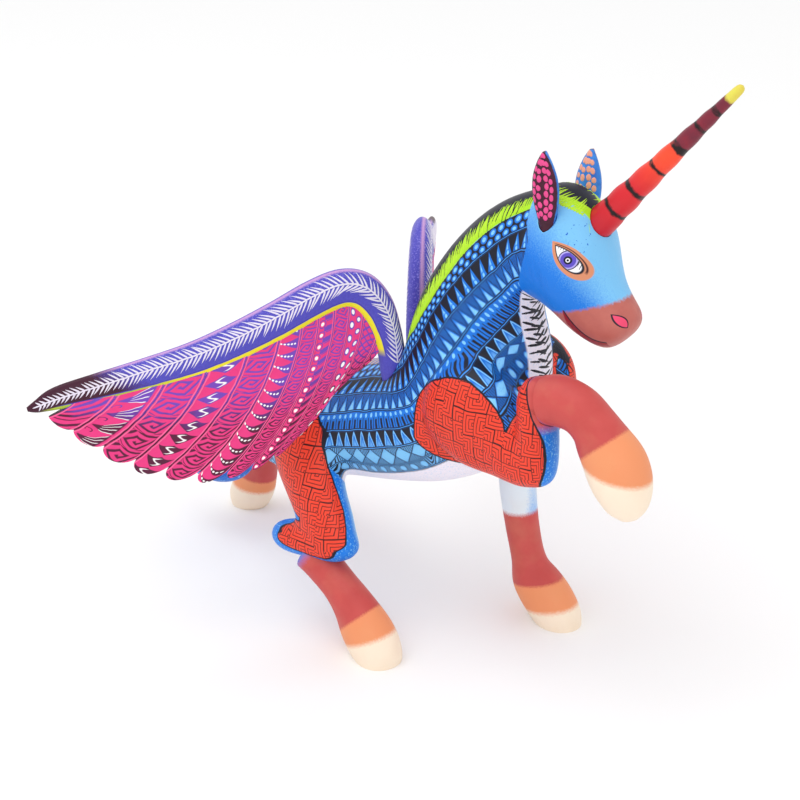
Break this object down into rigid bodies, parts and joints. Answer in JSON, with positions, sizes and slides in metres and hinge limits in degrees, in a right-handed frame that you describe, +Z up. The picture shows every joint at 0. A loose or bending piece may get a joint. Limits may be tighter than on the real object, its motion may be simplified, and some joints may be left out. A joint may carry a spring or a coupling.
{
  "type": "alebrije figure",
  "caption": "Carved and painted wooden winged unicorn on three hooves, one foreleg raised, with plug-in wings, ears, horn and tail.",
  "frame": {"origin": "on the surface it stands on, under the middle of its box", "axes": "+X towards the muzzle, +Y towards its left side, +Z up"},
  "size_m": [0.3186, 0.2948, 0.2859],
  "materials": {
    "body_paint": "satin acrylic paint on copal wood, blue ground with fine black and light line work",
    "leg_paint": "satin acrylic paint on copal wood, terracotta fading to peach and cream",
    "bare_wood": "bare sanded copal",
    "wing_paint": "satin acrylic paint on copal wood, pink feathers under a violet arm",
    "ear_paint": "satin acrylic paint on copal wood, dotted",
    "horn_paint": "satin acrylic paint on copal wood, red with dark rings",
    "tail_paint": "satin acrylic paint on copal wood, blue"
  },
  "bodies": {
    "figure": {"body": "body_paint", "right_fore_leg": "leg_paint", "left_fore_leg": "leg_paint", "right_hind_leg": "leg_paint", "left_hind_leg": "leg_paint", "right_fore_dowel": "bare_wood", "left_fore_dowel": "bare_wood", "right_hind_dowel": "bare_wood", "left_hind_dowel": "bare_wood"},
    "right_wing": {"right_wing": "wing_paint"},
    "left_wing": {"left_wing": "wing_paint"},
    "right_ear": {"right_ear": "ear_paint"},
    "left_ear": {"left_ear": "ear_paint"},
    "horn": {"horn": "horn_paint"},
    "tail": {"tail": "tail_paint"}
  },
  "joints": [
    {"name": "right_wing_pull", "type": "slide", "parent": "figure", "child": "right_wing", "axis": [0, -0.2873, 0.9578], "range_m": [0, 0.06]},
    {"name": "left_wing_pull", "type": "slide", "parent": "figure", "child": "left_wing", "axis": [0, 0.2873, 0.9578], "range_m": [0, 0.06]},
    {"name": "right_ear_pull", "type": "slide", "parent": "figure", "child": "right_ear", "axis": [0, -0.0995, 0.995], "range_m": [0, 0.04]},
    {"name": "left_ear_pull", "type": "slide", "parent": "figure", "child": "left_ear", "axis": [0, 0.0995, 0.995], "range_m": [0, 0.04]},
    {"name": "horn_pull", "type": "slide", "parent": "figure", "child": "horn", "axis": [0.6708, 0, 0.7417], "range_m": [0, 0.04]},
    {"name": "tail_pull", "type": "slide", "parent": "figure", "child": "tail", "axis": [-0.76, 0, 0.65], "range_m": [0, 0.04]}
  ]
}
